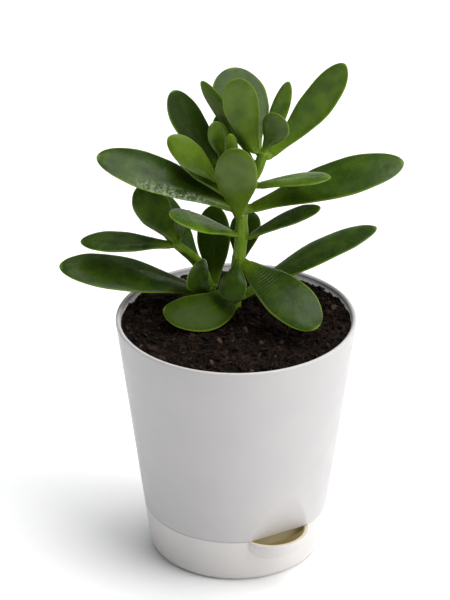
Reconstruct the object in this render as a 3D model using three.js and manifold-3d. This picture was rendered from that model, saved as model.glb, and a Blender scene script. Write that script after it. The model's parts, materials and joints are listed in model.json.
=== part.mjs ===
// A jade plant in a round self-watering pot: a tapered white pot that stands on a cream
// reservoir tray with a scooped filling spout, potting mix, two stems and their fleshy leaves.
// Millimetres, +Z up. The origin is the centre of the tray's flat underside, on the pot's axis,
// and the filling spout faces -Y.
import * as THREE from 'three';
import { mergeVertices } from 'three/addons/utils/BufferGeometryUtils.js';
import Module from 'manifold-3d';

const wasm = await Module();
wasm.setup();

// ---- driving dimensions ----------------------------------------------------------------
const RIM_RADIUS = 60;            // outside of the pot's rim
const BASE_RADIUS = 43.6;         // the cone's radius where it meets the table
const POT_HEIGHT = 128;           // table to rim
const SEAM_HEIGHT = 24.6;         // where the pot stands on the tray
const POT_WALL = 2.3;
const TRAY_WALL = 2.0;
const FLOOR = 2.4;                // thickness of the pot's floor and the tray's floor
const GAP = 0.3;                  // clearance between pieces that touch
const EDGE = 0.9;                 // rounding of the two edges that make the seam's groove
const BASE_FILLET = 3.3;

const SPOUT_LIP_RADIUS = 18.8;    // round lip of the filling spout, seen from above
const SPOUT_SET_IN = 10.45;       // its centre lies this far inside the tray's wall
const SPOUT_DEPTH = 13.5;         // how far the bulge runs down the tray
const RECESS_DEPTH = 3.15;        // how far the recess's straight lower edge lies inside the wall
const RECESS_HEIGHT = 24.5;       // height of the arched recess above the seam

const SKIRT_DEPTH = 6;            // ring under the pot's floor that centres it in the tray
const SKIRT_CLEARANCE = 1.8;      // skirt to tray wall
const FOOT_RADIUS = 16;           // wicking foot that reaches down into the reservoir
const FOOT_TIP_RADIUS = 13;
const FOOT_WALL = 1.8;
const FOOT_CLEARANCE = 0.8;       // foot to tray floor
const DRAIN_COUNT = 8;
const DRAIN_RADIUS = 2.2;
const SLOT_COUNT = 4;             // slots in the foot's wall that let the water in
const SLOT_WIDTH = 4.2;
const SLOT_LENGTH = 11;

const SOIL_DROP = 4;              // mean level of the potting mix below the rim
const ROOT_DEPTH = 15;            // how far each stem goes down into the mix

const PLANT_TURN = -29.3;         // degrees that the plant is turned in its pot
const AROUND = 60;                // facets round the pot and the tray

// ---- materials ---------------------------------------------------------------------------
function material(colour, roughness) {
  return new THREE.MeshStandardMaterial({ color: colour, roughness, metalness: 0 });
}
const potWhite = material(0xe9e6e6, 0.42);
const trayCream = material(0xe9e5e2, 0.45);
const soilBrown = material(0x2a1e18, 0.95);
const stemGreen = material(0x638019, 0.45);
const leafTones = {
  young: material(0x4f6b16, 0.35),
  mid: material(0x415912, 0.35),
  dark: material(0x2c420a, 0.38),
};

// ---- solids ------------------------------------------------------------------------------
const radians = THREE.MathUtils.degToRad;

function closed(geometry) {
  const plain = geometry.index ? geometry : geometry.clone();
  plain.deleteAttribute('normal');
  plain.deleteAttribute('uv');
  const merged = mergeVertices(plain, 1e-4);
  const corners = merged.index.array;
  const kept = [];
  for (let i = 0; i < corners.length; i += 3) {
    const [a, b, c] = [corners[i], corners[i + 1], corners[i + 2]];
    if (a !== b && b !== c && c !== a) kept.push(a, b, c);
  }
  merged.setIndex(kept);
  return merged;
}

function solid(geometry) {
  const merged = closed(geometry);
  return new wasm.Manifold(new wasm.Mesh({
    numProp: 3,
    vertProperties: new Float32Array(merged.attributes.position.array),
    triVerts: new Uint32Array(merged.index.array),
  }));
}

function geometryOf(manifold) {
  const mesh = manifold.getMesh();
  const geometry = new THREE.BufferGeometry();
  const places = new Float32Array(mesh.numVert * 3);
  for (let v = 0; v < mesh.numVert; v += 1) {
    for (let k = 0; k < 3; k += 1) places[v * 3 + k] = mesh.vertProperties[v * mesh.numProp + k];
  }
  geometry.setAttribute('position', new THREE.BufferAttribute(places, 3));
  geometry.setIndex(Array.from(mesh.triVerts));
  geometry.computeVertexNormals();
  return geometry;
}

// A body of revolution about +Z from [radius, height] pairs.
function turned(profile, around = AROUND) {
  const points = profile.map(([radius, height]) => new THREE.Vector2(radius, height));
  return new THREE.LatheGeometry(points, around).rotateX(Math.PI / 2);
}

// The points of a quarter round between two directions, in degrees, in the profile's plane.
function rounded(radius, height, size, from, to, steps = 3) {
  const points = [];
  for (let i = 0; i <= steps; i += 1) {
    const angle = radians(from + (to - from) * i / steps);
    points.push([radius + size * Math.cos(angle), height + size * Math.sin(angle)]);
  }
  return points;
}

// Where the pieces meet, from the dimensions above.
function coneRadius(height) {
  return BASE_RADIUS + (RIM_RADIUS - BASE_RADIUS) * height / POT_HEIGHT;
}

const soilHeight = POT_HEIGHT - SOIL_DROP;
const recessChord = coneRadius(SEAM_HEIGHT) - RECESS_DEPTH;
const spoutCentre = coneRadius(SEAM_HEIGHT) - SPOUT_SET_IN;
const skirtRadius = coneRadius(SEAM_HEIGHT - SKIRT_DEPTH) - TRAY_WALL - SKIRT_CLEARANCE;
const drainCircle = (FOOT_RADIUS + skirtRadius - POT_WALL) / 2;
const footBottom = FLOOR + FOOT_CLEARANCE;
const potBottom = SEAM_HEIGHT + GAP;
const potFloorTop = potBottom + FLOOR;

// Everything outside the recess's sloping plane, moved towards the pot's axis by `inset`.
function recessCutter(inset) {
  const apex = SEAM_HEIGHT + RECESS_HEIGHT;
  const slope = (coneRadius(apex) - recessChord) / RECESS_HEIGHT;
  const drop = SEAM_HEIGHT;
  const far = 40;
  const outline = new THREE.Shape([
    new THREE.Vector2(-(recessChord - slope * drop - inset), SEAM_HEIGHT - drop),
    new THREE.Vector2(-(coneRadius(apex) + slope * drop - inset), apex + drop),
    new THREE.Vector2(-(coneRadius(apex) + far), apex + drop),
    new THREE.Vector2(-(coneRadius(apex) + far), SEAM_HEIGHT - drop),
  ]);
  const block = new THREE.ExtrudeGeometry(outline, { depth: 2 * far, bevelEnabled: false });
  block.translate(0, 0, -far);
  // The outline's plane is (Y, Z) and its depth is X.
  const turn = new THREE.Matrix4().makeBasis(
    new THREE.Vector3(0, 1, 0), new THREE.Vector3(0, 0, 1), new THREE.Vector3(1, 0, 0));
  return solid(block.applyMatrix4(turn));
}

// ---- pot and tray ------------------------------------------------------------------------
function potSolid() {
  const lip = POT_WALL / 2;
  const rimEdge = coneRadius(POT_HEIGHT) - lip;
  const rimCentre = POT_HEIGHT - lip;
  const body = solid(turned([
    [0, potBottom],
    ...rounded(coneRadius(potBottom) - EDGE, potBottom + EDGE, EDGE, -90, 0),
    ...rounded(rimEdge, rimCentre, lip, 0, 90, 4),
    [0, POT_HEIGHT],
  ]));
  const cavity = solid(turned([
    [0, potFloorTop],
    [coneRadius(potFloorTop) - POT_WALL, potFloorTop],
    [coneRadius(rimCentre) - POT_WALL, rimCentre],
    ...rounded(rimEdge, rimCentre, lip, 180, 90, 4),
    [rimEdge, POT_HEIGHT + 1],
    [0, POT_HEIGHT + 1],
  ]));
  const shell = body.subtract(recessCutter(0))
    .subtract(cavity.subtract(recessCutter(POT_WALL)));

  const skirt = solid(turned([
    [skirtRadius - POT_WALL, potBottom - SKIRT_DEPTH],
    [skirtRadius, potBottom - SKIRT_DEPTH],
    [skirtRadius, potBottom + FLOOR / 2],
    [skirtRadius - POT_WALL, potBottom + FLOOR / 2],
    [skirtRadius - POT_WALL, potBottom - SKIRT_DEPTH],
  ]));
  const foot = solid(turned([
    [0, footBottom], [FOOT_TIP_RADIUS, footBottom], [FOOT_RADIUS, potFloorTop], [0, potFloorTop],
  ], 36));
  const footCavity = solid(turned([
    [0, footBottom + FOOT_WALL],
    [FOOT_TIP_RADIUS - FOOT_WALL, footBottom + FOOT_WALL],
    [FOOT_RADIUS - FOOT_WALL, potFloorTop + 1],
    [0, potFloorTop + 1],
  ], 36));
  let pot = shell.add(skirt).add(foot).subtract(footCavity);

  for (let i = 0; i < DRAIN_COUNT; i += 1) {
    const angle = radians(360 * (i + 0.5) / DRAIN_COUNT);
    const hole = new THREE.CylinderGeometry(DRAIN_RADIUS, DRAIN_RADIUS, 4 * FLOOR, 12);
    hole.rotateX(Math.PI / 2);
    hole.translate(drainCircle * Math.cos(angle), drainCircle * Math.sin(angle), potBottom);
    pot = pot.subtract(solid(hole));
  }
  for (let i = 0; i < SLOT_COUNT; i += 1) {
    const slot = new THREE.BoxGeometry(FOOT_RADIUS, SLOT_WIDTH, SLOT_LENGTH);
    slot.translate(FOOT_RADIUS, 0, footBottom + FOOT_WALL + GAP + SLOT_LENGTH / 2);
    slot.rotateZ(radians(360 * (i + 0.5) / SLOT_COUNT));
    pot = pot.subtract(solid(slot));
  }
  return pot;
}

// The spout's bowl: half an ellipsoid hung from the seam's plane.
function spoutBowl(radius, depth) {
  const bowl = new THREE.SphereGeometry(1, 48, 24).rotateX(Math.PI / 2);
  bowl.scale(radius, radius, depth);
  return bowl.translate(0, -spoutCentre, SEAM_HEIGHT);
}

function traySolid() {
  const above = new THREE.BoxGeometry(4 * RIM_RADIUS, 4 * RIM_RADIUS, POT_HEIGHT);
  above.translate(0, 0, SEAM_HEIGHT + POT_HEIGHT / 2);
  const body = solid(turned([
    [0, 0],
    ...rounded(coneRadius(BASE_FILLET) - BASE_FILLET, BASE_FILLET, BASE_FILLET, -90, 0, 4),
    ...rounded(coneRadius(SEAM_HEIGHT) - EDGE, SEAM_HEIGHT - EDGE, EDGE, 0, 90),
    [0, SEAM_HEIGHT],
  ]));
  const inside = solid(turned([
    [0, FLOOR],
    [coneRadius(FLOOR) - TRAY_WALL - FLOOR, FLOOR],
    [coneRadius(2 * FLOOR) - TRAY_WALL, 2 * FLOOR],
    [coneRadius(SEAM_HEIGHT + FLOOR) - TRAY_WALL, SEAM_HEIGHT + FLOOR],
    [0, SEAM_HEIGHT + FLOOR],
  ]));
  return body.add(solid(spoutBowl(SPOUT_LIP_RADIUS, SPOUT_DEPTH)))
    .subtract(inside)
    .subtract(solid(spoutBowl(SPOUT_LIP_RADIUS - TRAY_WALL, SPOUT_DEPTH - TRAY_WALL)))
    .subtract(solid(above));
}

// ---- stems -------------------------------------------------------------------------------
// A closed round body along a path: place(along, turn) gives the point at `along` (0 at the
// start, 1 at the end) and `turn` (0 to 1 round the section).
function ringed(rings, around, place) {
  const geometry = new THREE.SphereGeometry(1, around, rings);
  const position = geometry.attributes.position;
  let v = 0;
  for (let ring = 0; ring <= rings; ring += 1) {
    for (let step = 0; step <= around; step += 1) {
      const point = place(1 - ring / rings, (step % around) / around);
      position.setXYZ(v, point.x, point.y, point.z);
      v += 1;
    }
  }
  const body = closed(geometry);
  body.computeVertexNormals();
  return body;
}

const point = (x, y, z) => new THREE.Vector3(x, y, z);

// The plant's own frame has its origin on the pot's axis at the soil's mean level.
// Each stem is its path, its radius at the foot and at the top, and the joints that swell.
const stems = {
  main: {
    path: [point(-1.5, 17, -ROOT_DEPTH), point(-1, 17, 3), point(1.4, 17, 28),
      point(2.7, 17, 42), point(2.8, 17, 55), point(3.8, 17, 65), point(9.5, 17, 74),
      point(13.3, 17, 85)],
    foot: 3.8, top: 2.5, joints: [28, 42, 55, 83],
  },
  left_shoot: {
    path: [point(0.4, 17, 65.5), point(-2.5, 17, 68.5), point(-5, 17, 72), point(-7, 17, 76)],
    foot: 2.1, top: 1.9, joints: [75],
  },
  side: {
    path: [point(-8.5, 18.5, -ROOT_DEPTH), point(-9, 18.5, 1),
      point(-12.5, 19, 9), point(-18, 20, 24), point(-29.4, 21, 33.6)],
    foot: 2.3, top: 1.6, joints: [9, 33],
  },
};
const STEM_RINGS = 22;
const STEM_AROUND = 10;
const STEM_STEPS = 400;           // steps in which a place along a stem is looked for
const STEM_CAP = 0.6;             // the domed end of a stem stands out this far
const JOINT_SWELL = 0.45;
const JOINT_SPREAD = 2.2;         // half-height of a swollen joint

function stemCurve(stem) {
  return new THREE.CatmullRomCurve3(stem.path, false, 'centripetal');
}

function stemRadius(stem, along, height) {
  let radius = THREE.MathUtils.lerp(stem.foot, stem.top, along);
  for (const joint of stem.joints) {
    radius += JOINT_SWELL * Math.exp(-(((height - joint) / JOINT_SPREAD) ** 2));
  }
  return radius;
}

function stemGeometry(stem, grow = 0) {
  const curve = stemCurve(stem);
  const side = new THREE.Vector3(0, 1, 0);
  return ringed(STEM_RINGS, STEM_AROUND, (along, turn) => {
    const inner = THREE.MathUtils.clamp((along * STEM_RINGS - 1) / (STEM_RINGS - 2), 0, 1);
    const centre = curve.getPointAt(inner);
    const tangent = curve.getTangentAt(inner);
    const across = side.clone().cross(tangent).normalize();
    const depth = tangent.clone().cross(across);
    if (along === 0 || along === 1) {
      return centre.addScaledVector(tangent, (along ? 1 : -1) * (STEM_CAP + grow));
    }
    const angle = -2 * Math.PI * turn;
    const radius = stemRadius(stem, inner, centre.z) + grow;
    return centre.addScaledVector(across, -radius * Math.cos(angle))
      .addScaledVector(depth, radius * Math.sin(angle));
  });
}

// ---- leaves ------------------------------------------------------------------------------
// stem, height: where the leaf joins, above the soil. heading: degrees anticlockwise from +X,
// seen from above. lift: degrees that the base-to-tip line rises. arch and sweep: how far the
// middle of the leaf stands off that line, towards its upper face and towards its side.
// roll: degrees that the upper face is turned about the leaf. A terminal leaf sits on the end
// of its stem. neck: width at the join, where it isn't LEAF_NECK. An oval leaf is as round
// towards its stem as towards its tip.
const leaves = [
  // pair at the third joint, and the pair across it
  { name: 'leaf_big_left', stem: 'main', height: 55, heading: 177, lift: 21.5, length: 72,
    width: 25, arch: 3, sweep: 0, roll: -22, tone: 'dark' },
  { name: 'leaf_big_right', stem: 'main', height: 55, heading: 6, lift: 16, length: 79,
    width: 25, arch: 2, sweep: 0, roll: 22, tone: 'dark' },
  { name: 'leaf_centre_front', stem: 'main', height: 54, heading: 262, lift: 80, length: 40,
    width: 21, arch: -2, sweep: 0, roll: 0, tone: 'mid' },
  { name: 'leaf_upper_back', stem: 'main', height: 59, heading: 160, lift: 37, length: 38,
    width: 24, arch: 2, sweep: 0, roll: 0, tone: 'dark' },
  // second joint
  { name: 'leaf_mid_left', stem: 'main', height: 42, heading: 205, lift: 26, length: 38,
    width: 20, arch: 1, sweep: 0, roll: -10, tone: 'mid' },
  { name: 'leaf_mid_right', stem: 'main', height: 41, heading: 337, lift: 31, length: 43,
    width: 13, arch: 2, sweep: 0, roll: 20, tone: 'dark' },
  { name: 'leaf_mid_back', stem: 'main', height: 22, heading: 74, lift: 48, length: 28,
    width: 16, arch: 2, sweep: 0, roll: 0, tone: 'dark' },
  // first joint and foot
  { name: 'leaf_front_right', stem: 'main', height: 26, heading: 312, lift: -16, length: 55,
    width: 24, arch: 4, sweep: 0, roll: 20, tone: 'dark', neck: 0.36 },
  { name: 'leaf_front_narrow', stem: 'main', height: 27, heading: 258, lift: -45, length: 21,
    width: 14, arch: 3, sweep: 0, roll: 0, tone: 'dark' },
  { name: 'leaf_low_right', stem: 'main', height: 6, heading: 18, lift: 21.5, length: 76,
    width: 20, arch: 3, sweep: 0, roll: 5, tone: 'dark' },
  { name: 'leaf_low_front', stem: 'main', height: 10, heading: 213, lift: 1, length: 38.5,
    width: 21, arch: 3.5, sweep: -9, roll: -36, tone: 'mid', neck: 0.06, oval: true },
  // side stem, lower joint
  { name: 'leaf_low_left', stem: 'side', height: 9, heading: 184, lift: 13.5, length: 74,
    width: 24, arch: 3, sweep: 0, roll: -20, tone: 'dark' },
  { name: 'leaf_small_front', stem: 'side', height: 11, heading: 222, lift: 60, length: 19,
    width: 18, arch: -1, sweep: 0, roll: -80, tone: 'dark' },
  { name: 'leaf_back_tall', stem: 'side', height: 9, heading: 91, lift: 48, length: 42,
    width: 17, arch: -2, sweep: 0, roll: 0, tone: 'dark' },
  { name: 'leaf_back_left', stem: 'side', height: 20, heading: 140, lift: 50, length: 44,
    width: 20, arch: -2, sweep: 0, roll: 0, tone: 'dark' },
  // side stem, top joint
  { name: 'leaf_side_back', stem: 'side', height: 33, heading: 160, lift: 54, length: 33,
    width: 18, arch: -1, sweep: 0, roll: -50, tone: 'mid', terminal: true },
  { name: 'leaf_side_left', stem: 'side', height: 33, heading: 184, lift: 4, length: 46,
    width: 16, arch: 1, sweep: 0, roll: -15, tone: 'dark', terminal: true },
  { name: 'leaf_side_upright', stem: 'side', height: 33, heading: 28, lift: 72, length: 16,
    width: 8, arch: -1, sweep: 0, roll: 75, tone: 'young', terminal: true, neck: 0.22 },
  // left shoot
  { name: 'leaf_shoot_back', stem: 'left_shoot', height: 74, heading: 136, lift: 45, length: 47,
    width: 21, arch: -2, sweep: 0, roll: 0, tone: 'dark' },
  { name: 'leaf_shoot_left', stem: 'left_shoot', height: 73, heading: 190, lift: 46, length: 35,
    width: 13.5, arch: 2, sweep: 0, roll: -60, tone: 'young' },
  { name: 'leaf_shoot_inner', stem: 'left_shoot', height: 77, heading: 173, lift: 70, length: 24,
    width: 11, arch: -1, sweep: 0, roll: -60, tone: 'mid', neck: 0.25 },
  { name: 'leaf_bud_front', stem: 'left_shoot', height: 75, heading: 250, lift: 84, length: 20,
    width: 7, arch: -1, sweep: 0, roll: 40, tone: 'young', neck: 0.4 },
  { name: 'leaf_bud_back', stem: 'left_shoot', height: 75, heading: 98, lift: 48, length: 28,
    width: 10, arch: -1, sweep: 0, roll: 0, tone: 'mid' },
  // right shoot
  { name: 'leaf_top_back', stem: 'main', height: 84, heading: 112, lift: 42, length: 46,
    width: 29, arch: -2, sweep: 0, roll: 0, tone: 'dark', neck: 0.18 },
  { name: 'leaf_top_front', stem: 'main', height: 85, heading: 160, lift: 74, length: 37.5,
    width: 18, arch: -2, sweep: 0, roll: -55, tone: 'young', neck: 0.34 },
  { name: 'leaf_top_left', stem: 'main', height: 79.5, heading: 154, lift: 53, length: 46,
    width: 8, arch: -2, sweep: 0, roll: -70, tone: 'young', neck: 0.22 },
  { name: 'leaf_top_right', stem: 'main', height: 78.5, heading: 60, lift: 49, length: 43,
    width: 10, arch: -1, sweep: 0, roll: 0, tone: 'mid', neck: 0.24 },
  { name: 'leaf_round_right', stem: 'main', height: 85, heading: 335, lift: 68, length: 20,
    width: 15, arch: -1, sweep: 0, roll: 85, tone: 'young', terminal: true },
  { name: 'leaf_long_right', stem: 'main', height: 83.5, heading: 28, lift: 44, length: 58,
    width: 19, arch: -3, sweep: 0, roll: 20, tone: 'mid' },
  { name: 'leaf_fork_right', stem: 'main', height: 71, heading: 345, lift: 13, length: 37,
    width: 16, arch: 1, sweep: 0, roll: 0, tone: 'mid' },
];
const LEAF_RINGS = 12;
const LEAF_AROUND = 10;
const LEAF_THICKNESS = 4.4;
const LEAF_NECK = 0.28;           // width where the leaf joins, as a share of its full width
const LEAF_PEAK = 0.62;           // where along its length the leaf is widest
const NECK_LENGTH = 0.9;          // under 1, the leaf widens sooner beyond its neck
const BASE_ROUNDING = 0.04;       // share of the length over which the cut end is rounded off
const TIP_TAPER = 0.25;           // how much of its depth the leaf loses towards its tip
const TIP_OUTLINE = { fall: 2.3, fullness: 0.55 };
const TIP_DEPTH = { fall: 3, fullness: 0.6 };
const UPPER_SHARE = 0.7;          // how much flatter the upper face is than the lower

function baseRounding(along) {
  return along < BASE_ROUNDING ? Math.sqrt(1 - (1 - along / BASE_ROUNDING) ** 2) : 1;
}

// 1 at the widest place, falling to 0 at the tip.
function towardsTip(along, { fall, fullness }) {
  const past = Math.max(0, along - LEAF_PEAK) / (1 - LEAF_PEAK);
  return (1 - past ** fall) ** fullness;
}

// Half the leaf's width at `along`, as a share of half its full width.
function leafOutline(along, neck, oval) {
  if (along >= LEAF_PEAK) return towardsTip(along, TIP_OUTLINE);
  const share = along / LEAF_PEAK;
  const growth = oval ? Math.sqrt(1 - (1 - share) ** 2)
    : (1 - Math.cos(Math.PI * share ** NECK_LENGTH)) / 2;
  return baseRounding(along) * (neck + (1 - neck) * growth);
}

function leafDepth(along) {
  return baseRounding(along) * towardsTip(along, TIP_DEPTH) * (1 - TIP_TAPER * along);
}

// The place on a stem's centre line at a height above the soil.
function stemPointAt(stem, height) {
  const curve = stemCurve(stem);
  let along = 0;
  for (let step = 0; step <= STEM_STEPS; step += 1) {
    const here = step / STEM_STEPS;
    const off = Math.abs(curve.getPointAt(here).z - height);
    if (off < Math.abs(curve.getPointAt(along).z - height)) along = here;
  }
  return { centre: curve.getPointAt(along), tangent: curve.getTangentAt(along), along };
}

function leafGeometry(leaf) {
  const stem = stems[leaf.stem];
  const join = stemPointAt(stem, leaf.height);
  const [heading, lift] = [radians(leaf.heading), radians(leaf.lift)];
  const axis = point(Math.cos(heading) * Math.cos(lift), Math.sin(heading) * Math.cos(lift),
    Math.sin(lift));
  const upper = point(0, 0, 1).addScaledVector(axis, -axis.z).normalize()
    .applyAxisAngle(axis, radians(leaf.roll));
  const side = axis.clone().cross(upper);
  const halfDepth = LEAF_THICKNESS / 2;
  const neck = leaf.neck ?? LEAF_NECK;

  // A leaf at a stem's end leaves along its own axis; any other starts square to the stem.
  const outward = leaf.terminal ? axis.clone()
    : axis.clone().addScaledVector(join.tangent, -axis.dot(join.tangent));
  const leaning = outward.length();
  outward.normalize();
  const reach = stemRadius(stem, join.along, join.centre.z) + GAP
    + (leaf.terminal ? STEM_CAP : halfDepth * Math.sqrt(1 - leaning ** 2));
  const base = join.centre.clone().addScaledVector(outward, reach);

  return ringed(LEAF_RINGS, LEAF_AROUND, (step, turn) => {
    const along = (1 - Math.cos(Math.PI * step)) / 2;
    const bow = 4 * along * (1 - along);
    const slope = 4 * (1 - 2 * along);
    const centre = base.clone().addScaledVector(axis, leaf.length * along)
      .addScaledVector(upper, leaf.arch * bow).addScaledVector(side, leaf.sweep * bow);
    const tangent = axis.clone().multiplyScalar(leaf.length)
      .addScaledVector(upper, leaf.arch * slope).addScaledVector(side, leaf.sweep * slope)
      .normalize();
    const normal = upper.clone().addScaledVector(tangent, -upper.dot(tangent)).normalize();
    const across = tangent.clone().cross(normal);
    const angle = 2 * Math.PI * turn;
    const rise = Math.sin(angle) * halfDepth * leafDepth(along);
    return centre
      .addScaledVector(across, -Math.cos(angle) * leaf.width / 2 * leafOutline(along, neck, leaf.oval))
      .addScaledVector(normal, rise > 0 ? rise * UPPER_SHARE : rise);
  });
}

// ---- soil --------------------------------------------------------------------------------
const SOIL_RINGS = 8;
const SOIL_AROUND = 36;
const SHOULDER_DROP = 2;          // the lumpy top starts this far above the mix's straight side

// Lumps in the mix: waves that cross, each with its height and its turns per millimetre.
const SOIL_WAVES = [
  { height: 0.6, x: 0.43, y: 0.31 },
  { height: 0.5, x: -0.2, y: 0.52 },
  { height: 0.45, x: 0.19, y: 0.16 },
  { height: 0.45, x: 0.19, y: -0.16 },
];

function soilLumps(x, y) {
  let lump = 0;
  for (const wave of SOIL_WAVES) lump += wave.height * Math.sin(wave.x * x + wave.y * y);
  return lump;
}

function soilSolid() {
  const bottom = potFloorTop + GAP;
  const middle = (bottom + soilHeight) / 2;
  const shoulder = soilHeight - SHOULDER_DROP;
  const wall = (height) => coneRadius(height) - POT_WALL - GAP;
  const edge = wall(soilHeight) - GAP;
  const profile = [
    [0, footBottom + FOOT_WALL + GAP],
    [FOOT_TIP_RADIUS - FOOT_WALL - GAP, footBottom + FOOT_WALL + GAP],
    [FOOT_RADIUS - FOOT_WALL - 2 * GAP, bottom],
    [wall(bottom), bottom],
    [wall(middle), middle],
    [edge, shoulder],
  ];
  for (let ring = 0; ring <= SOIL_RINGS; ring += 1) {
    profile.push([edge * (1 - ring / SOIL_RINGS), soilHeight]);
  }
  const body = turned(profile, SOIL_AROUND);
  const places = body.attributes.position;
  for (let v = 0; v < places.count; v += 1) {
    const lump = soilLumps(places.getX(v), places.getY(v));
    if (places.getZ(v) > shoulder + SHOULDER_DROP / 2) places.setZ(v, soilHeight + lump);
  }
  let soil = solid(body).subtract(recessCutter(POT_WALL + GAP));
  for (const stem of [stems.main, stems.side]) {
    const pocket = stemGeometry(stem, GAP).rotateZ(radians(PLANT_TURN));
    soil = soil.subtract(solid(pocket.translate(0, 0, soilHeight)));
  }
  return soil;
}

// ---- assembly ----------------------------------------------------------------------------
const group = new THREE.Group();
const plant = new THREE.Group();
plant.position.z = soilHeight;
plant.rotation.z = radians(PLANT_TURN);
group.add(plant);

function add(parent, name, geometry, look) {
  const mesh = new THREE.Mesh(geometry, look);
  mesh.name = name;
  parent.add(mesh);
}

add(group, 'reservoir_tray', geometryOf(traySolid()), trayCream);
add(group, 'pot', geometryOf(potSolid()), potWhite);
add(group, 'soil', geometryOf(soilSolid()), soilBrown);
for (const [name, stem] of Object.entries(stems)) {
  add(plant, name.endsWith('shoot') ? name : `${name}_stem`, stemGeometry(stem), stemGreen);
}
for (const leaf of leaves) add(plant, leaf.name, leafGeometry(leaf), leafTones[leaf.tone]);

export default group;
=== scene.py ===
import json
import math
import random
from functools import cache

import bmesh
import bpy
import numpy as np
from mathutils import Matrix, Vector, noise
from mathutils.bvhtree import BVHTree


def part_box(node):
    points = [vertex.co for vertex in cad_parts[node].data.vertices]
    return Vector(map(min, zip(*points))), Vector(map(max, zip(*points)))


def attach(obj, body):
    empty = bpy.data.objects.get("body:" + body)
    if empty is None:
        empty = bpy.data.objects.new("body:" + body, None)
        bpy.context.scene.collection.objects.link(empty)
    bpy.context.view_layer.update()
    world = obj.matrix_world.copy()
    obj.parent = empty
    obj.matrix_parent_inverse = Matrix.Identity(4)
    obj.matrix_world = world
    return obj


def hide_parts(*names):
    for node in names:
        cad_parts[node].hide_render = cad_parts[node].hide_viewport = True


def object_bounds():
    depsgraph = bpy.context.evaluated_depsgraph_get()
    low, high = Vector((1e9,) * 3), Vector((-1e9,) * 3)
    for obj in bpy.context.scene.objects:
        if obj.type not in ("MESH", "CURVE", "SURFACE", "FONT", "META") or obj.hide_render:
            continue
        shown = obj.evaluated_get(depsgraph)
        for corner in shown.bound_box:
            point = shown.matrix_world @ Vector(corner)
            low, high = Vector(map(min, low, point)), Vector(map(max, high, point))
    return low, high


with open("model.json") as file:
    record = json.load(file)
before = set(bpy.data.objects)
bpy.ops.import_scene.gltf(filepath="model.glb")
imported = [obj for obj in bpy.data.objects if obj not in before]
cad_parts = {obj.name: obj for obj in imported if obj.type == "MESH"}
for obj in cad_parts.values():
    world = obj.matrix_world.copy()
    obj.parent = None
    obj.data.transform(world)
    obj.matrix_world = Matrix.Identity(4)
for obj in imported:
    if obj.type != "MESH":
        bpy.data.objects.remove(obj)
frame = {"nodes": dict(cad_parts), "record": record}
cad_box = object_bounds()

MM = 0.001
NODES = frame["nodes"]
SLOT_OF = {part["node"]: part["material_slot"] for part in frame["record"]["subparts"]}
BASE_COLOUR = {m["slot"]: tuple(m["base_color"][:3]) for m in frame["record"]["materials"]}
POT_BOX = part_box("pot")
TRAY_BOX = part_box("reservoir_tray")
RIM_HEIGHT = POT_BOX[1][2]
PLANT_HEIGHT = cad_box[1][2] - RIM_HEIGHT
FULL_TURN = 6.28                    # near enough for a random heading

# ---- camera ------------------------------------------------------------------------------------
CAMERA_TURN = math.radians(-29.3)
CAMERA_RISE = math.radians(27.42)
CAMERA_DISTANCE = 1.4
CAMERA_AIM = Vector((-0.0055, 0.0, 0.137))
LENS = 169.6


def facing_camera(x, y, z):
    """A point given as right, away and up from where the camera stands, in the row frame."""
    return Matrix.Rotation(CAMERA_TURN, 3, "Z") @ Vector((x, y, z))


def add_camera():
    data = bpy.data.cameras.new("camera")
    data.lens = LENS
    data.sensor_width = 36
    camera = bpy.data.objects.new("camera", data)
    back = Vector((0, -math.cos(CAMERA_RISE), math.sin(CAMERA_RISE)))
    camera.location = facing_camera(*(CAMERA_AIM + back * CAMERA_DISTANCE))
    camera.rotation_euler = (math.pi / 2 - CAMERA_RISE, 0, CAMERA_TURN)
    bpy.context.scene.collection.objects.link(camera)
    bpy.context.scene.camera = camera


# ---- meshes ------------------------------------------------------------------------------------
def add_object(name, vertices, faces, smooth=True, facts=None):
    """A mesh object from arrays, with one named float a vertex for each entry of facts."""
    mesh = bpy.data.meshes.new(name)
    mesh.from_pydata([tuple(v) for v in vertices], [], [tuple(f) for f in faces])
    for key, values in (facts or {}).items():
        layer = mesh.attributes.new(key, "FLOAT", "POINT")
        layer.data.foreach_set("value", np.asarray(values, dtype=np.float32))
    mesh.polygons.foreach_set("use_smooth", [smooth] * len(mesh.polygons))
    mesh.validate()
    obj = bpy.data.objects.new(name, mesh)
    bpy.context.scene.collection.objects.link(obj)
    return obj


def grid_faces(rows, columns):
    """Quads of a rows by columns grid of vertices, closed round its columns."""
    row, column = np.meshgrid(np.arange(rows - 1), np.arange(columns), indexing="ij")
    after = (column + 1) % columns
    quads = [row * columns + column, row * columns + after,
             (row + 1) * columns + after, (row + 1) * columns + column]
    return np.stack(quads, axis=-1).reshape(-1, 4)


def place(obj, material, slot, *nodes):
    obj.data.materials.clear()
    obj.data.materials.append(material)
    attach(obj, "root")
    if nodes:
        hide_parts(*nodes)


def wobble(points, size, seed):
    """Smooth noise from -1 to 1 at each point, with features of about `size` metres."""
    shift = Vector((seed * 3.17, seed * 1.31, seed * 2.23))
    return np.array([noise.noise(Vector(p) / size + shift) for p in points])


def turn_outward(obj):
    """Makes the faces of a closed mesh look outward."""
    bm = bmesh.new()
    bm.from_mesh(obj.data)
    bmesh.ops.recalc_face_normals(bm, faces=bm.faces)
    bm.to_mesh(obj.data)
    bm.free()


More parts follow.
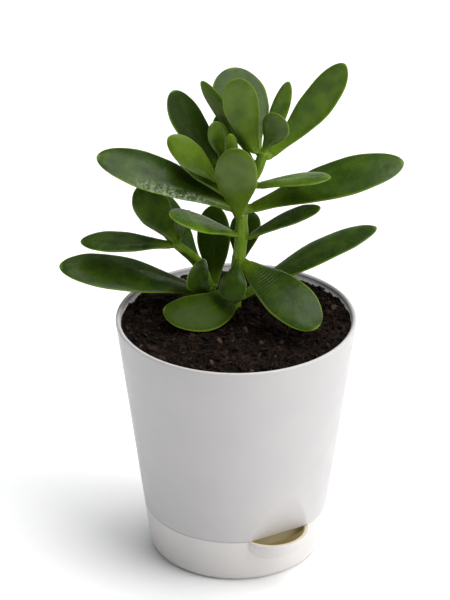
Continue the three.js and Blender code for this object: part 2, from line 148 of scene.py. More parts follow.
# ---- rings of a lofted node --------------------------------------------------------------------
def ring_layers(node):
    """The vertices of a lofted node and its rings as lists of indices, pole to pole."""
    places = np.array([v.co[:] for v in node.data.vertices])
    points, index = np.unique(np.round(places, 6), axis=0, return_inverse=True)
    index = index.reshape(-1)
    near = [set() for _ in points]
    for polygon in node.data.polygons:
        corners = [int(index[v]) for v in polygon.vertices]
        for a, b in zip(corners, corners[1:] + corners[:1]):
            if a != b:
                near[a].add(b)
                near[b].add(a)
    start = max(range(len(points)), key=lambda i: (len(near[i]), -i))
    seen, layer, layers = {start}, [start], []
    while layer:
        layers.append(layer)
        layer = sorted({n for i in layer for n in near[i]} - seen)
        seen.update(layer)
    return points, near, layers


def walk_round(ring, near):
    """The ring's indices in the order of a walk round it."""
    order, members = [ring[0]], set(ring)
    while len(order) < len(ring):
        step = [n for n in near[order[-1]] if n in members and n not in order]
        order.append(step[0])
    return order


def lofted(node):
    """A (rings, steps, 3) array of a lofted node, its rings in step with each other."""
    points, near, layers = ring_layers(node)
    steps = len(layers[1])
    rings = [points[walk_round(layer, near)] if len(layer) == steps
             else np.repeat(points[layer[:1]], steps, axis=0) for layer in layers]
    middle = len(rings) // 2
    for direction in (1, -1):
        k = middle + direction
        while 0 < k < len(rings) - 1:
            last = rings[k - direction] - rings[k - direction].mean(axis=0)
            last /= np.linalg.norm(last)
            here = rings[k] - rings[k].mean(axis=0)
            here /= np.linalg.norm(here)
            tries = [(flip, turn) for flip in (1, -1) for turn in range(steps)]
            flip, turn = min(tries, key=lambda t: np.sum((np.roll(here[::t[0]], t[1], 0) - last) ** 2))
            rings[k] = np.roll(rings[k][::flip], turn, axis=0)
            k += direction
    return np.array(rings)


def eased(values, at, odd):
    """Catmull-Rom through values[0..n] at positions `at`. The ends mirror, with a change of
    sign where odd, so a size that falls to nothing at a pole does so smoothly."""
    sign = -1 if odd else 1
    padded = np.concatenate([sign * values[1:2], values, sign * values[-2:-1]])
    cell = np.clip(np.floor(at).astype(int), 0, len(values) - 2)
    t = (at - cell).reshape((-1,) + (1,) * (values.ndim - 1))
    p0, p1, p2, p3 = (padded[cell + i] for i in range(4))
    return 0.5 * (2 * p1 + (p2 - p0) * t + (2 * p0 - 5 * p1 + 4 * p2 - p3) * t ** 2
                  + (3 * p1 - p0 - 3 * p2 + p3) * t ** 3)


def unit(vectors):
    return vectors / np.maximum(np.linalg.norm(vectors, axis=-1, keepdims=True), 1e-12)


# ---- stems -------------------------------------------------------------------------------------
STEM_NODES = [name for name, slot in SLOT_OF.items() if slot == "stem_green"]
STEM_STEPS = 32
STEM_FINE = 6                       # rows for each ring of the frame
BRANCH_REACH = 4 * MM               # a branch's foot runs this far into the main stem
LEAST_REACH = 1.5 * MM              # least stem radius that a leaf's neck is shaped for


def stem_axis(name):
    """Centre line and radii of a stem, from its lower end to its upper end."""
    rings = lofted(NODES[name])
    centres = rings.mean(axis=1)
    radii = np.linalg.norm(rings - centres[:, None], axis=2).mean(axis=1)
    if centres[0][2] > centres[-1][2]:
        centres, radii = centres[::-1], radii[::-1]
    return centres, radii


STEM_AXES = {name: stem_axis(name) for name in STEM_NODES}


def build_stem(name, material):
    centres, radii = STEM_AXES[name]
    inner_centres, inner_radii = centres[1:-1], radii[1:-1]
    at = np.linspace(0, len(inner_centres) - 1, (len(inner_centres) - 1) * STEM_FINE + 1)
    line = eased(inner_centres, at, odd=False)
    size = eased(inner_radii, at, odd=False)
    if name == "left_shoot":         # its foot grows out of the main stem
        root = line[0] + unit(line[0] - line[3]) * BRANCH_REACH
        line = np.concatenate([[root, (root + line[0]) / 2], line])
        size = np.concatenate([[size[0] * 1.1] * 2, size])
    # The upper end is a low dome.
    rounds = np.radians([25, 50, 72, 86])
    rise = unit(line[-1] - line[-2]) * size[-1] * 0.7
    line = np.concatenate([line, line[-1] + rise * np.sin(rounds)[:, None]])
    size = np.concatenate([size, size[-1] * np.cos(rounds)])
    tangent = unit(np.gradient(line, axis=0))
    side = unit(np.cross(tangent, [0.0, 1.0, 0.2]))
    depth = np.cross(tangent, side)
    turn = np.linspace(0, 2 * math.pi, STEM_STEPS, endpoint=False)
    ridges = 1 + 0.018 * np.sin(5 * turn + 0.8) + 0.012 * np.sin(9 * turn)
    spokes = (side[:, None] * np.cos(turn)[None, :, None]
              + depth[:, None] * np.sin(turn)[None, :, None])
    surface = line[:, None] + spokes * (size[:, None] * ridges[None])[..., None]
    flat = surface.reshape(-1, 3)
    lumps = 0.16 * wobble(flat, 4 * MM, 3) + 0.06 * wobble(flat, 1.3 * MM, 5)
    flat = flat + spokes.reshape(-1, 3) * lumps[:, None] * MM
    length = np.concatenate([[0], np.cumsum(np.linalg.norm(np.diff(line, axis=0), axis=1))])
    faces = [tuple(f) for f in grid_faces(len(line), STEM_STEPS)]
    faces.append(tuple(range(STEM_STEPS))[::-1])
    last = (len(line) - 1) * STEM_STEPS
    faces.append(tuple(range(last, last + STEM_STEPS)))
    facts = {"along": np.repeat(length / length[-1], STEM_STEPS),
             "swell": np.repeat(size / np.median(size) - 1, STEM_STEPS)}
    obj = add_object(name + "_bark", flat, faces, facts=facts)
    place(obj, material, "stem_green", name)


def nearest_on_stems(spot):
    """The point on any stem's centre line that is nearest to spot, and the stem's radius."""
    best = None
    for centres, radii in STEM_AXES.values():
        for a, b, radius in zip(centres[:-1], centres[1:], radii[1:]):
            span = b - a
            share = np.clip(np.dot(spot - a, span) / max(np.dot(span, span), 1e-12), 0, 1)
            point = a + share * span
            off = np.linalg.norm(spot - point)
            if best is None or off < best[0]:
                best = (off, point, max(radius, LEAST_REACH))
    return best[1], best[2]


# ---- leaves ------------------------------------------------------------------------------------
LEAF_NODES = [name for name, slot in SLOT_OF.items() if slot.startswith("leaf_")]
LEAF_FINE = 6                       # rows for each ring of the frame
LEAF_STEPS = 40
NECK_ROWS = 7
CREASED = "leaf_front_right"        # this one has fine cross creases near its neck
WET_AND_HIGHLIGHTED = "leaf_big_left"            # a water film along its near edge, with a painted highlight
# leaves painted darkest as shade, and given a duller shine
SHADED_LEAVES = ("leaf_shoot_back", "leaf_low_front", "leaf_mid_back", "leaf_back_tall")


def leaf_frame(name):
    """Rows along a leaf: centre, half-width vector, upper normal, upper and lower height."""
    rings = lofted(NODES[name])
    ends = [nearest_on_stems(rings[i, 0])[0] for i in (0, -1)]
    if np.linalg.norm(rings[-1, 0] - ends[1]) < np.linalg.norm(rings[0, 0] - ends[0]):
        rings = rings[::-1]
    steps = rings.shape[1]
    half = steps // 2
    spans = np.linalg.norm(rings - np.roll(rings, half, axis=1), axis=2).sum(axis=0)
    rings = np.roll(rings, -int(np.argmax(spans)), axis=1)
    centres = (rings[:, 0] + rings[:, half]) / 2
    across = (rings[:, 0] - rings[:, half]) / 2
    tangent = unit(np.gradient(centres, axis=0))
    faces = [rings[:, half // 2:half // 2 + 2].mean(axis=1) - centres,
             rings[:, half + half // 2:half + half // 2 + 2].mean(axis=1) - centres]
    heights = [np.linalg.norm(face, axis=1) for face in faces]
    if heights[0].sum() > heights[1].sum():
        faces, heights = faces[::-1], heights[::-1]
    normal = np.cross(tangent, across)
    normal *= np.sign(np.sum(normal * faces[0], axis=1, keepdims=True))
    normal[0], normal[-1] = normal[1], normal[-2]
    full = math.sin(math.pi * (half // 2) / half)     # what the middle vertices reach of it
    return centres, across, unit(normal), heights[0] / full, heights[1] / full


def leaf_rows(name):
    """The frame's rows made finer, with a neck before them that runs on into the stem."""
    centres, across, normal, upper, lower = leaf_frame(name)
    at = np.linspace(1, len(centres) - 1, (len(centres) - 2) * LEAF_FINE + 1)
    line = eased(centres, at, odd=False)
    width = eased(across, at, odd=True)
    facing = unit(eased(normal, at, odd=False))
    high, low = eased(upper, at, odd=True), eased(lower, at, odd=True)
    root, radius = nearest_on_stems(line[0])
    heading = unit(line[3] - line[0])
    reach = np.linalg.norm(line[0] - root)
    turn_point = line[0] - heading * reach * 0.55
    share = np.linspace(0, 1, NECK_ROWS, endpoint=False)[:, None]
    neck = (1 - share) ** 2 * root + 2 * share * (1 - share) * turn_point + share ** 2 * line[0]
    flare = 1 + 0.3 * (1 - share) ** 2
    thick = max(high[0], low[0])
    narrow = np.linalg.norm(width[0])
    joined = np.clip(narrow * 1.3, 2 * MM, radius * 1.05)
    line = np.concatenate([neck, line])
    width = np.concatenate([width[0] * (1 + (joined / narrow - 1) * (1 - share) ** 2), width])
    facing = np.concatenate([np.repeat(facing[:1], NECK_ROWS, axis=0), facing])
    high = np.concatenate([(high[0] + (thick - high[0]) * (1 - share[:, 0])) * flare[:, 0], high])
    low = np.concatenate([low[0] * flare[:, 0], low])
    return line, width, facing, high, low


def leaf_section(turn):
    """Across, upper and lower height of a fleshy leaf's section, each as a share."""
    x = np.sign(np.cos(turn)) * np.abs(np.cos(turn)) ** 0.92
    upper = (1 - np.abs(x) ** 2.6) ** 0.62 * (1 - 0.1 * np.exp(-((x / 0.16) ** 2)))
    lower = (1 - np.abs(x) ** 2.2) ** 0.6
    return x, upper, lower


def leaf_facts(name, along, width, x, turn, tone):
    """What the leaf's material asks of each vertex, but for the tip's."""
    rows = len(along)
    crease = np.exp(-(((along - 0.3) / 0.15) ** 2)) * (name == CREASED)
    outward = np.sign(np.dot(width[rows // 2], facing_camera(0, -1, 0)))
    near_edge = np.clip((x * outward - 0.35) / 0.3, 0, 1)[None]
    stretch = np.clip(1 - ((along - 0.42) / 0.36) ** 2, 0, 1)[:, None]
    # the water film, which the material also paints as a highlight
    wet = near_edge * stretch * (np.sin(turn) > 0)[None] * (name == WET_AND_HIGHLIGHTED)
    return {
        "crease": np.repeat(crease, LEAF_STEPS),
        "wet": wet.reshape(-1),
        "along": np.repeat(along, LEAF_STEPS),
        "across": np.tile(x, rows),
        "upper": np.tile(np.clip(0.5 + 3 * np.sin(turn), 0, 1), rows),
        "tone": np.full(rows * LEAF_STEPS, tone),
    }


def build_leaf(name, material, seed):
    line, width, facing, high, low = leaf_rows(name)
    length = np.concatenate([[0], np.cumsum(np.linalg.norm(np.diff(line, axis=0), axis=1))])
    along = length / length[-1]
    tangent = unit(np.gradient(line, axis=0))
    facing = unit(facing - tangent * np.sum(facing * tangent, axis=1, keepdims=True))
    turn = (np.arange(LEAF_STEPS) + 0.5) * 2 * math.pi / LEAF_STEPS
    x, above, below = leaf_section(turn)
    draw = random.Random(seed)
    # -1 is for leaves painted darkest as shade. The others grow lighter towards the plant's top:
    # painted shade on the lower leaves, and lighter young growth higher up.
    height = (line[:, 2].mean() - RIM_HEIGHT) / PLANT_HEIGHT
    tone = -1.0 if name in SHADED_LEAVES else max(1.6 * height - 0.6 + draw.uniform(-0.3, 0.3), -0.8)
    wave = draw.uniform(0, FULL_TURN)
    edge = 1 + 0.012 * np.sin(along[:, None] * 21 + wave + np.sign(x)[None] * 0.9)
    rise = np.where(np.sin(turn)[None] > 0, high[:, None] * above[None], -low[:, None] * below[None])
    surface = (line[:, None] + width[:, None] * (x[None] * edge)[..., None]
               + facing[:, None] * rise[..., None])
    flat = surface.reshape(-1, 3)
    # The blade swells a little here and there, and the neck doesn't.
    blade = np.repeat(np.clip((along - 0.08) / 0.15, 0, 1), LEAF_STEPS)
    swell = 0.20 * wobble(flat, 11 * MM, seed) + 0.07 * wobble(flat, 3.5 * MM, seed + 9)
    flat = flat + np.repeat(facing, LEAF_STEPS, axis=0) * (swell * blade)[:, None] * MM
    # The last row closes to a point, the tip.
    rows = len(line) - 1
    tip = rows * LEAF_STEPS
    flat = np.concatenate([flat[:tip], line[-1:]])
    last = tip - LEAF_STEPS
    faces = [tuple(f) for f in grid_faces(rows, LEAF_STEPS)]
    faces += [(last + i, last + (i + 1) % LEAF_STEPS, tip) for i in range(LEAF_STEPS)]
    faces.append(tuple(range(LEAF_STEPS))[::-1])
    facts = leaf_facts(name, along[:rows], width, x, turn, tone)
    at_tip = {"crease": 0.0, "wet": 0.0, "along": 1.0, "across": 0.0, "upper": 0.5, "tone": tone}
    facts = {key: np.append(values, at_tip[key]) for key, values in facts.items()}
    obj = add_object(name + "_blade", flat, faces, facts=facts)
    turn_outward(obj)
    place(obj, material, SLOT_OF[name], name)


# ---- pot and tray ------------------------------------------------------------------------------
RIM_RADIUS = POT_BOX[1][0]
SEAM = TRAY_BOX[1][2]
SEAM_RADIUS = TRAY_BOX[1][0]
GAP = 0.3 * MM                      # the frame's gap between pieces that touch
WALL = 2.3 * MM
TRAY_WALL = 2.0 * MM
TRAY_EDGE = 0.2 * MM                # rounding of the tray wall's inner edge
FLOOR = 2.4 * MM
EDGE = 0.35 * MM                    # rounding of the two edges at the seam
SEAM_GAP = 0.08 * MM                # the slit between the tray's edge and the pot's
BASE_FILLET = 3.3 * MM
LIP_RADIUS = 18.8 * MM              # round lip of the spout, seen from above
LIP_CENTRE = -TRAY_BOX[0][1] - LIP_RADIUS
BOWL_DEPTH = 13.5 * MM
RECESS_DEPTH = 3.15 * MM            # how far its lower edge lies inside the wall
RECESS_HEIGHT = 24.5 * MM
FINE_HEIGHT = 28 * MM               # above the seam. The rows are close up to here
INNER_ROWS = 40
SOFTEN = 0.18 * MM                  # rounding where two surfaces of a shell meet


def cone(height):
    return SEAM_RADIUS + (RIM_RADIUS - SEAM_RADIUS) * (height - SEAM) / (RIM_HEIGHT - SEAM)


def smooth_min(a, b, size):
    mixed = np.clip(0.5 + 0.5 * (b - a) / size, 0, 1)
    return b + (a - b) * mixed - size * mixed * (1 - mixed)


def columns():
    """Angles round the pot from the spout's direction, closer together near the spout."""
    near = np.radians(np.linspace(-40, 40, 201))
    far = np.radians(np.linspace(40, 320, 161))[1:-1]
    return np.concatenate([near, far])


def recessed(radius, angle, height, inset):
    """Radius of the pot's wall, cut back by the sloping plane above the spout."""
    apex = SEAM + RECESS_HEIGHT
    slope = (cone(apex) - cone(SEAM) + RECESS_DEPTH) / RECESS_HEIGHT
    plane = cone(SEAM) - RECESS_DEPTH + slope * (height - SEAM) - inset
    ahead = np.cos(angle)
    cut = np.where(ahead > 0.3, plane / np.maximum(ahead, 0.3), 1.0)
    return smooth_min(radius, cut, SOFTEN)


def spouted(radius, angle, height, inset):
    """Radius of the tray's wall, pushed out by the round bowl of the spout."""
    reach, depth = LIP_RADIUS - inset, BOWL_DEPTH - inset
    level = np.clip((SEAM - height) / depth, 0, 1)
    ring = reach * np.sqrt(1 - level ** 2)
    under = ring ** 2 - (LIP_CENTRE * np.sin(angle)) ** 2
    out = np.where((under > 0) & (np.cos(angle) > 0),
                   LIP_CENTRE * np.cos(angle) + np.sqrt(np.maximum(under, 0)), 0.0)
    return -smooth_min(-radius, -out, 2 * SOFTEN)


def arc(start, end, steps):
    return [math.radians(start + (end - start) * i / steps) for i in range(steps + 1)]


def turned_shell(profile, shape):
    """Rows of a surface turned round the pot's axis. A row of the profile is (height, offset,
    inset): the wall's radius at that height less the inset, shaped, plus the offset."""
    angle = columns()
    rows = []
    for height, offset, inset in profile:
        base = np.full_like(angle, cone(height) - inset)
        radius = shape(base, angle, height, inset) + offset
        rows.append(np.stack([radius * np.sin(angle), -radius * np.cos(angle),
                              np.full_like(angle, height)], axis=1))
    return np.array(rows)


def pot_profile():
    bottom = SEAM + SEAM_GAP
    lip = WALL / 2
    rows = [(bottom + EDGE + EDGE * math.sin(a), EDGE * math.cos(a) - EDGE, 0)
            for a in arc(-90, 0, 5)]
    rows += [(z, 0, 0) for z in np.linspace(bottom + EDGE, bottom + FINE_HEIGHT, 57)[1:]]
    rows += [(z, 0, 0) for z in np.linspace(bottom + FINE_HEIGHT, RIM_HEIGHT - lip, 24)[1:]]
    rows += [(RIM_HEIGHT - lip + lip * math.sin(a), lip * math.cos(a) - lip, 0)
             for a in arc(0, 180, 12)[1:]]
    floor = SEAM + GAP + FLOOR
    rows += [(z, 0, WALL) for z in np.linspace(RIM_HEIGHT - lip, floor, INNER_ROWS)[1:]]
    return rows


def build_pot(material):
    rows = turned_shell(pot_profile(), recessed)
    count = rows.shape[1]
    vertices = [tuple(v) for v in rows.reshape(-1, 3)]
    faces = [tuple(f) for f in grid_faces(len(rows), count)]
    inside = np.repeat(np.arange(len(rows)) > len(rows) - INNER_ROWS, count).astype(float)
    # The floor, skirt and wicking foot below come from the frame as they are.
    source = NODES["pot"].data
    reach = cone(SEAM) - TRAY_WALL - 1.5 * MM
    floor_top = SEAM + GAP + FLOOR + GAP
    for polygon in source.polygons:
        corners = [source.vertices[v].co for v in polygon.vertices]
        low = max(c.z for c in corners) < floor_top
        small = max(math.hypot(c.x, c.y) for c in corners) < reach
        if low and (small or abs(polygon.normal.z) > 0.99):
            faces.append(tuple(range(len(vertices), len(vertices) + len(corners))))
            vertices += [tuple(c) for c in corners]
    inside = np.concatenate([inside, np.ones(len(vertices) - len(inside))])
    obj = add_object("pot_wall", vertices, faces, facts={"inside": inside})
    bm = bmesh.new()
    bm.from_mesh(obj.data)
    bmesh.ops.remove_doubles(bm, verts=bm.verts, dist=1e-6)
    for face in bm.faces:
        face.smooth = len(face.verts) == 4
    bm.to_mesh(obj.data)
    bm.free()
    place(obj, material, "pot_white", "pot")


def tray_profile():
    rows = [(0.0, -SEAM_RADIUS + 0.5 * MM, 0), (0.0, -SEAM_RADIUS * 0.5, 0)]
    rows += [(BASE_FILLET + BASE_FILLET * math.sin(a), BASE_FILLET * math.cos(a) - BASE_FILLET, 0)
             for a in arc(-90, 0, 8)]
    rows += [(z, 0, 0) for z in np.linspace(BASE_FILLET, SEAM - EDGE, 48)[1:]]
    rows += [(SEAM - EDGE + EDGE * math.sin(a), EDGE * math.cos(a) - EDGE, 0)
             for a in arc(0, 90, 5)[1:]]
    rows += [(SEAM - TRAY_EDGE + TRAY_EDGE * math.sin(a), TRAY_EDGE * (1 + math.cos(a)), TRAY_WALL)
             for a in arc(90, 180, 2)]
    rows += [(z, 0, TRAY_WALL) for z in np.linspace(SEAM - TRAY_EDGE, 2 * FLOOR, 44)[1:]]
    rows += [(FLOOR + FLOOR * (1 - math.sin(a)), FLOOR * (math.cos(a) - 1), TRAY_WALL)
             for a in arc(0, 90, 5)[1:]]
    rows += [(FLOOR, -SEAM_RADIUS * 0.5, TRAY_WALL), (FLOOR, -SEAM_RADIUS + 3.2 * MM, TRAY_WALL)]
    return rows


def build_tray(material):
    profile = tray_profile()
    rows = turned_shell(profile, spouted)
    count = rows.shape[1]
    faces = [tuple(f) for f in grid_faces(len(rows), count)]
    faces.append(tuple(range(count))[::-1])
    last = (len(rows) - 1) * count
    faces.append(tuple(range(last, last + count)))
    inside = np.repeat([float(inset > 0) for _, _, inset in profile], count)
    obj = add_object("tray_wall", rows.reshape(-1, 3), faces, facts={"inside": inside})
    turn_outward(obj)
    place(obj, material, "tray_cream", "reservoir_tray")


# ---- potting mix -------------------------------------------------------------------------------
SOIL_LEVEL = RIM_HEIGHT - 4 * MM
SOIL_RADIUS = cone(SOIL_LEVEL) - WALL + 0.1 * MM
SOIL_RISE = 0.5 * MM                # the crumbled surface's mean height above the frame's
SOIL_RINGS = 110
SOIL_STEPS = 300
POCKET_RADIUS = 5.5 * MM            # clear of the pocket that holds a stem


def soil_tree():
    data = NODES["soil"].data
    return BVHTree.FromPolygons([v.co for v in data.vertices],
                                [tuple(p.vertices) for p in data.polygons])


SOIL_TREE = soil_tree()
STEM_FEET = [axis[0][np.argmin(np.abs(axis[0][:, 2] - SOIL_LEVEL))] for name, axis
             in STEM_AXES.items() if name != "left_shoot"]


def soil_height(x, y):
    """The frame's soil level at x, y, taken from beside a stem's pocket where there is one."""
    for foot in STEM_FEET:
        away = Vector((x - foot[0], y - foot[1]))
        if away.length < POCKET_RADIUS:
            away = (away if away.length > 1e-6 else Vector((1, 0))).normalized() * POCKET_RADIUS
            x, y = foot[0] + away.x, foot[1] + away.y
    hit = SOIL_TREE.ray_cast(Vector((x, y, RIM_HEIGHT + 0.05)), Vector((0, 0, -1)))
    return hit[0].z if hit[0] is not None else SOIL_LEVEL


def soil_relief(x, y):
    """Crumbly relief above the frame's level, in metres."""
    spot = Vector((x, y, 0))
    lumps = noise.noise(spot / (6 * MM))
    clods = noise.noise(spot / (2.3 * MM) + Vector((7, 3, 1)))
    grain = noise.noise(spot / (0.9 * MM) + Vector((1, 9, 4)))
    cell = noise.voronoi(spot / (3.2 * MM))[0][0]
    return (0.9 * lumps + 0.75 * clods + 0.35 * grain + 0.9 * (0.5 - cell)) * MM


def mix_height(x, y):
    """Height of the crumbled surface."""
    return soil_height(x, y) + SOIL_RISE + soil_relief(x, y)


def build_soil_surface(material):
    vertices, tones = [], []
    for ring in range(SOIL_RINGS + 1):
        radius = SOIL_RADIUS * ring / SOIL_RINGS
        for step in range(SOIL_STEPS):
            angle = 2 * math.pi * step / SOIL_STEPS
            x, y = radius * math.cos(angle), radius * math.sin(angle)
            spot = Vector((x, y, 0))
            # the mix climbs the wall here and there
            ragged = 1.6 * noise.noise(spot / (5 * MM) + Vector((4, 4, 4)))
            climb = max(0.0, (radius / SOIL_RADIUS - 0.965) / 0.035) * ragged * MM
            vertices.append((x, y, min(mix_height(x, y) + climb, RIM_HEIGHT - 0.7 * MM)))
            tones.append(noise.noise(spot / (14 * MM) + Vector((2, 8, 5))))
    # a skirt closes it down the wall
    for step in range(SOIL_STEPS):
        angle = 2 * math.pi * step / SOIL_STEPS
        vertices.append((SOIL_RADIUS * math.cos(angle), SOIL_RADIUS * math.sin(angle),
                         SOIL_LEVEL - 6 * MM))
        tones.append(0.0)
    obj = add_object("soil_surface", vertices, grid_faces(SOIL_RINGS + 2, SOIL_STEPS),
                     facts={"tone": tones})
    place(obj, material, "potting_mix")


def lump_template(level):
    """Vertices and faces of a ball that each lump is shaped from."""
    bm = bmesh.new()
    bmesh.ops.create_icosphere(bm, subdivisions=level, radius=1.0)
    vertices = np.array([v.co[:] for v in bm.verts])
    faces = np.array([[v.index for v in f.verts] for f in bm.faces])
    bm.free()
    return vertices, faces


def on_soil(draw, reach=0.985):
    """A random place on the mix, within that share of its radius."""
    radius = SOIL_RADIUS * reach * math.sqrt(draw.random())
    angle = draw.uniform(0, 2 * math.pi)
    x, y = radius * math.cos(angle), radius * math.sin(angle)
    return x, y, mix_height(x, y)


def build_crumbs(name, material, count, sizes, flatness, seed, level):
    """Lumps scattered over the mix, each a dented and squashed ball. sizes are the least and
    the greatest radius, in millimetres, and flatness is their thickness as a share of it."""
    draw = random.Random(seed)
    base, base_faces = lump_template(level)
    vertices, faces, tones = [], [], []
    for _ in range(count):
        size = sizes[0] * (sizes[1] / sizes[0]) ** (draw.random() ** 2.2) * MM
        x, y, z = on_soil(draw)
        if any(math.hypot(x - f[0], y - f[1]) < 4.2 * MM + size for f in STEM_FEET):
            continue
        if math.hypot(x, y) + size > SOIL_RADIUS:
            continue
        stretch = np.array([draw.uniform(0.7, 1.4), draw.uniform(0.7, 1.2),
                            draw.uniform(*flatness)])
        turn = Matrix.Rotation(draw.uniform(0, FULL_TURN), 3, Vector(
            (draw.uniform(-1, 1), draw.uniform(-1, 1), draw.uniform(-1, 1))).normalized())
        dents = 1 + 0.42 * wobble(base * 1.5, 1.0, draw.uniform(0, 50))
        lump = (base * dents[:, None] * stretch) @ np.array(turn).T * size
        lump += np.array([x, y, min(z + 0.25 * size, RIM_HEIGHT - 0.4 * MM - size)])
        faces.append(base_faces + len(vertices) * len(base))
        vertices.append(lump)
        tones.append(np.full(len(base), draw.uniform(-1, 1)))
    obj = add_object(name, np.concatenate(vertices), np.concatenate(faces),
                     facts={"tone": np.concatenate(tones)})
    place(obj, material, "potting_mix")


FIBRE_SIDES = 4
FIBRE_JOINTS = 7


def fibre_rings(draw):
    """Rings of points round one coir strand that lies on the mix in a bend."""
    x, y, _ = on_soil(draw, 0.93)
    heading = draw.uniform(0, FULL_TURN)
    length = draw.uniform(3, 13) * MM
    thick = draw.uniform(0.08, 0.19) * MM
    bend = draw.uniform(-1.6, 1.6)
    rise = draw.uniform(0.0, 0.25)
    points = []
    for joint in range(FIBRE_JOINTS):
        share = joint / (FIBRE_JOINTS - 1) - 0.5
        course = heading + bend * share
        px = x + math.cos(course) * share * length
        py = y + math.sin(course) * share * length
        reach = math.hypot(px, py)
        if reach > SOIL_RADIUS - thick:
            px, py = (v * (SOIL_RADIUS - thick) / reach for v in (px, py))
        pz = mix_height(px, py) + (0.3 + rise * (1 - 4 * share * share) * 4) * MM
        centre = Vector((px, py, min(pz, RIM_HEIGHT - 0.6 * MM)))
        across = Vector((-math.sin(course), math.cos(course), 0))
        for side in range(FIBRE_SIDES):
            turn = 2 * math.pi * side / FIBRE_SIDES
            off = across * thick * math.cos(turn) + Vector((0, 0, thick * math.sin(turn)))
            points.append(tuple(centre + off))
    return points


def build_fibres(material, count, seed):
    """Coir strands: thin bent tubes lying on the mix."""
    draw = random.Random(seed)
    strand = grid_faces(FIBRE_JOINTS, FIBRE_SIDES)
    vertices, faces, tones = [], [], []
    for _ in range(count):
        faces.append(strand + len(vertices))
        vertices += fibre_rings(draw)
        tones += [draw.uniform(-1, 1)] * (FIBRE_JOINTS * FIBRE_SIDES)
    obj = add_object("soil_fibres", vertices, np.concatenate(faces), facts={"tone": tones})
    place(obj, material, "potting_mix")


# ---- materials ---------------------------------------------------------------------------------
class Nodes:
    """A material's node tree, with short calls for the nodes that this script uses."""

    def __init__(self, name):
        self.material = bpy.data.materials.new(name)
        self.material.use_nodes = True
        self.tree = self.material.node_tree
        self.shader = self.tree.nodes["Principled BSDF"]

    def put(self, kind, **settings):
        node = self.tree.nodes.new(kind)
        for key, value in settings.items():
            setattr(node, key, value)
        return node

    def link(self, output, node, socket):
        self.tree.links.new(output, node.inputs[socket])

    def feed(self, node, socket, value):
        if isinstance(value, bpy.types.NodeSocket):
            self.link(value, node, socket)
        else:
            node.inputs[socket].default_value = value

    def fact(self, name):
        return self.put("ShaderNodeAttribute", attribute_name=name).outputs["Fac"]

    def place(self):
        return self.put("ShaderNodeTexCoord").outputs["Object"]

    def height(self):
        node = self.put("ShaderNodeSeparateXYZ")
        self.link(self.place(), node, "Vector")
        return node.outputs["Z"]

    def mapped(self, size, stretch=(1, 1, 1)):
        """The place in units of `size`, so that a texture's features are about that big."""
        mapping = self.put("ShaderNodeMapping")
        self.link(self.place(), mapping, "Vector")
        mapping.inputs["Scale"].default_value = [s / size for s in stretch]
        return mapping.outputs["Vector"]

    def noise(self, size, detail=3.0, rough=0.55, stretch=(1, 1, 1)):
        node = self.put("ShaderNodeTexNoise")
        self.link(self.mapped(size, stretch), node, "Vector")
        node.inputs["Scale"].default_value = 1.0
        node.inputs["Detail"].default_value = detail
        node.inputs["Roughness"].default_value = rough
        return node.outputs["Fac"]

    def cells(self, size):
        node = self.put("ShaderNodeTexVoronoi")
        self.link(self.mapped(size), node, "Vector")
        node.inputs["Scale"].default_value = 1.0
        return node.outputs["Distance"]

    def maths(self, operation, a, b=0.0):
        node = self.put("ShaderNodeMath", operation=operation)
        self.feed(node, 0, a)
        self.feed(node, 1, b)
        return node.outputs[0]

    def ramp(self, value, low, high, to_low=0.0, to_high=1.0):
        """A smooth step from to_low, where value is low, to to_high, where it's high."""
        node = self.put("ShaderNodeMapRange", interpolation_type="SMOOTHSTEP")
        self.feed(node, "Value", value)
        for socket, number in zip(("From Min", "From Max", "To Min", "To Max"),
                                  (low, high, to_low, to_high)):
            node.inputs[socket].default_value = number
        return node.outputs["Result"]

    def mix(self, share, a, b):
        """The colour a where share is 0, and b where it's 1."""
        node = self.put("ShaderNodeMix", data_type="RGBA")
        self.feed(node, 0, share)
        self.feed(node, 6, a if isinstance(a, bpy.types.NodeSocket) else (*a, 1))
        self.feed(node, 7, b if isinstance(b, bpy.types.NodeSocket) else (*b, 1))
        return node.outputs[2]

    def bump(self, height, distance, strength, below=None):
        node = self.put("ShaderNodeBump")
        self.link(height, node, "Height")
        node.inputs["Distance"].default_value = distance
        node.inputs["Strength"].default_value = strength
        if below is not None:
            self.link(below, node, "Normal")
        return node.outputs["Normal"]

    def finish(self, colour, rough, normal=None, **constants):
        self.feed(self.shader, "Base Color", colour)
        self.feed(self.shader, "Roughness", rough)
        if normal is not None:
            self.link(normal, self.shader, "Normal")
        for key, value in constants.items():
            self.shader.inputs[key.replace("_", " ")].default_value = value
        return self.material


def scaled(colour, *shares):
    """The colour made brighter or darker, by one share or by one for each channel."""
    shares = shares if len(shares) == 3 else shares * 3
    return tuple(min(c * s, 1.0) for c, s in zip(colour, shares))


DOT_COLOUR = (0.26, 0.32, 0.1)
# painted highlight of the water film
WATER_HIGHLIGHT = (0.42, 0.47, 0.36)
STEM_FOOT_COLOUR = (0.12, 0.11, 0.045)
YOUNG_SHADE = 0.68                  # the young leaves' base colour is darkened by this
LEAF_SHINE, SHADED_SHINE = 0.38, 0.12  # specular levels


